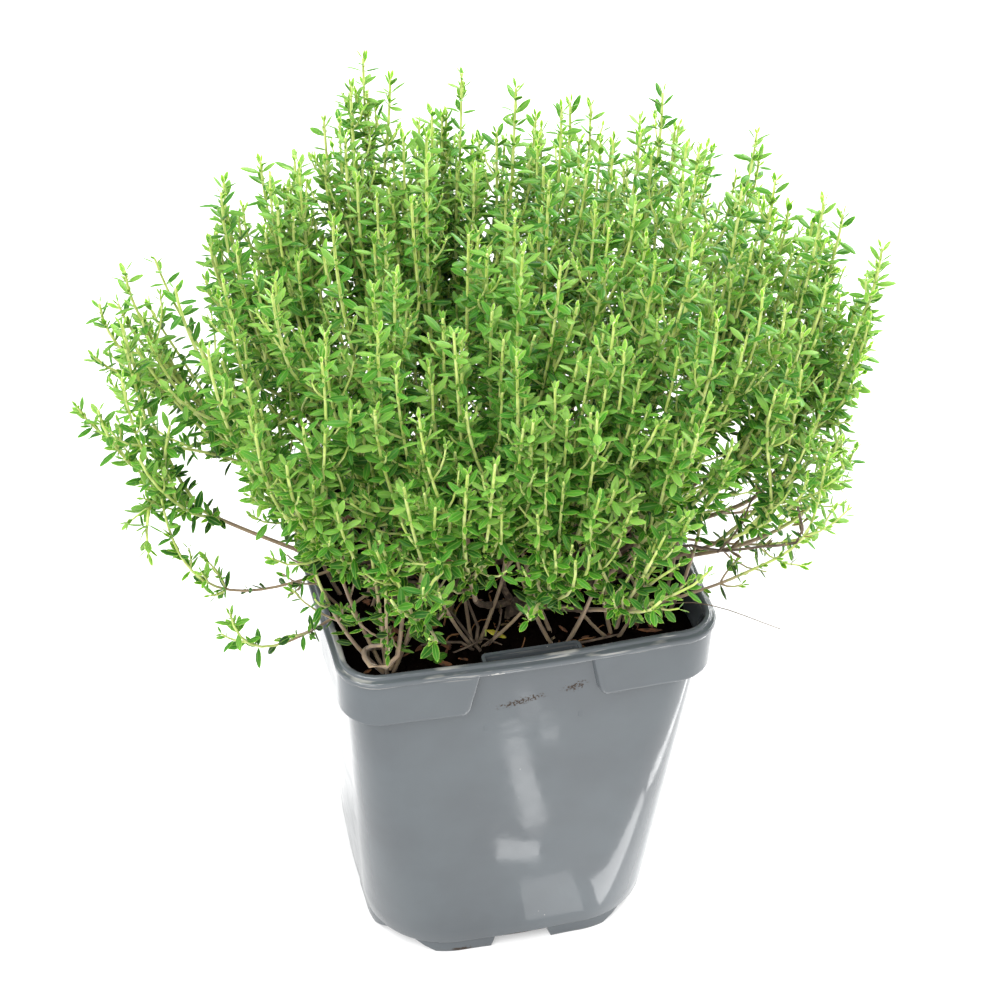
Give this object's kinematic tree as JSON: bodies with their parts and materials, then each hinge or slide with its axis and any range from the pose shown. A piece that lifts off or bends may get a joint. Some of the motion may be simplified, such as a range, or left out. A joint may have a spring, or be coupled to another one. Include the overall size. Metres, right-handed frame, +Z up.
{
  "type": "potted thyme",
  "caption": "Bushy thyme with small paired leaves on thin woody stems, growing in a square plastic nursery pot filled with dark soil.",
  "frame": {"origin": "on the standing plane, under the centre of the square pot; the crown reaches about equally far to both sides of it", "axes": "+Z up out of the pot; X and Y along the sides of the square pot, with the pot's label pocket on the -Y side"},
  "size_m": [0.2292, 0.1591, 0.246],
  "materials": {
    "pot_plastic": "smooth grey polypropylene with a soft shine, thin-walled injection moulding",
    "potting_soil": null,
    "woody_stem": "thin grey-brown bark of young woody stems",
    "thyme_green": null
  },
  "bodies": {
    "root": {"pot": "pot_plastic", "soil": "potting_soil", "spray_01": "thyme_green", "spray_02": "thyme_green", "spray_03": "thyme_green", "spray_04": "thyme_green", "spray_05": "thyme_green", "spray_06": "thyme_green", "spray_07": "thyme_green", "spray_08": "thyme_green", "spray_09": "thyme_green", "spray_10": "thyme_green", "spray_11": "thyme_green", "spray_12": "thyme_green", "spray_13": "thyme_green", "spray_14": "thyme_green", "spray_15": "thyme_green", "spray_16": "thyme_green", "spray_17": "thyme_green", "spray_18": "thyme_green", "spray_19": "thyme_green", "spray_20": "thyme_green", "spray_21": "thyme_green", "spray_22": "thyme_green", "spray_23": "thyme_green", "spray_24": "thyme_green", "spray_25": "thyme_green", "spray_26": "thyme_green", "spray_27": "thyme_green", "spray_28": "thyme_green", "spray_29": "thyme_green", "spray_30": "thyme_green", "spray_31": "thyme_green", "spray_32": "thyme_green", "spray_33": "thyme_green", "spray_34": "thyme_green", "spray_35": "thyme_green", "spray_36": "thyme_green", "spray_37": "thyme_green", "spray_38": "thyme_green", "spray_39": "thyme_green", "spray_40": "thyme_green", "spray_41": "thyme_green", "spray_42": "thyme_green", "spray_43": "thyme_green", "spray_44": "thyme_green", "spray_45": "thyme_green", "straggler_1": "thyme_green", "straggler_2": "thyme_green", "straggler_3": "thyme_green", "straggler_4": "thyme_green", "woody_plant_1": "woody_stem", "woody_plant_2": "woody_stem", "woody_plant_3": "woody_stem", "woody_plant_4": "woody_stem", "woody_plant_5": "woody_stem", "woody_plant_6": "woody_stem", "woody_plant_7": "woody_stem", "woody_plant_8": "woody_stem", "woody_plant_9": "woody_stem"}
  },
  "joints": []
}
